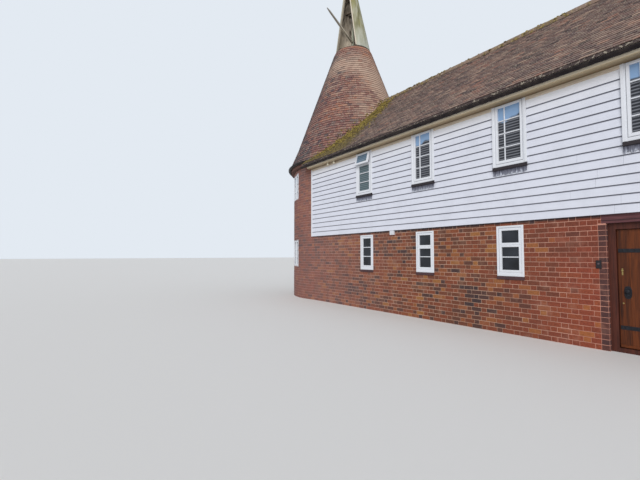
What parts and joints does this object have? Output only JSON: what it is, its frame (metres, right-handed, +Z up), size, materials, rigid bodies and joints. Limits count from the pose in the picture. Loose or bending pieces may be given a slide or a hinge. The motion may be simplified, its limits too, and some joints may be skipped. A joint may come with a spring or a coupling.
{
  "type": "oast house",
  "caption": "Round brick kiln under a tiled cone with a turning white cowl, joined to a long two-storey stowage of brick and white weatherboard with an opening front door.",
  "frame": {"origin": "middle of the overall box at ground level", "axes": "+X along the stowage, away from the kiln; the front with its door faces -Y; +Z up"},
  "size_m": [14.873, 5.34, 12.6734],
  "materials": {
    "brick": "fired clay bricks in light mortar",
    "floor": "smooth floor slab",
    "boards_white": "white painted weatherboards",
    "joinery_white": "white painted joinery",
    "plaster": "framed wall, plain inside",
    "oak": "sawn timber",
    "red_timber": "stained timber lintel",
    "door_wood": "oiled boarded door",
    "roof_tiles": "plain clay tiles with moss",
    "kiln_tiles": "plain clay tiles",
    "ridge": "half-round clay ridge tiles",
    "eaves_cream": "cream painted boards",
    "gutter_black": "black half-round gutter",
    "glass": "clear window glass",
    "sills": "clay and timber sills with lead aprons",
    "iron": "black wrought iron",
    "fittings": "small wall fittings",
    "cowl_white": "weathered white painted boards"
  },
  "bodies": {
    "building": {"stowage_floor": "floor", "kiln_floor": "floor", "front_wall_left": "brick", "front_wall_right": "brick", "door_lintel": "red_timber", "back_wall": "brick", "gable_wall": "brick", "front_upper_wall": "plaster", "back_upper_wall": "plaster", "gable_upper_wall": "plaster", "front_weatherboarding": "boards_white", "back_weatherboarding": "boards_white", "gable_weatherboarding": "boards_white", "corner_boards": "boards_white", "upper_floor": "oak", "kiln_wall_front": "brick", "kiln_wall_left": "brick", "kiln_wall_back": "brick", "kiln_wall_inner": "brick", "drying_floor": "oak", "kiln_eaves": "eaves_cream", "kiln_gutter": "gutter_black", "kiln_roof": "kiln_tiles", "cowl_curb": "oak", "cowl_bearings": "oak", "roof_front": "roof_tiles", "roof_back": "roof_tiles", "ridge_tiles": "ridge", "eaves_boards": "eaves_cream", "gutters": "gutter_black", "upper_windows": "joinery_white", "lower_windows": "joinery_white", "kiln_windows": "joinery_white", "upper_glass": "glass", "lower_glass": "glass", "window_sills": "sills", "door_frame": "red_timber", "wall_fittings": "fittings"},
    "door": {"door_leaf": "door_wood", "door_ironwork": "iron"},
    "cowl": {"cowl_post": "oak", "cowl_shell": "cowl_white", "cowl_cheeks": "cowl_white", "cowl_cap": "cowl_white", "vane_arm": "cowl_white"}
  },
  "joints": [
    {"name": "front_door", "type": "hinge", "parent": "building", "child": "door", "pos_m": [4.644, -2.113, 0], "axis": [0, 0, -1], "range_deg": [0, 95]},
    {"name": "cowl_turn", "type": "hinge", "parent": "building", "child": "cowl", "pos_m": [-4.8735, 0, 9.5], "axis": [0, 0, 1], "continuous": true}
  ]
}
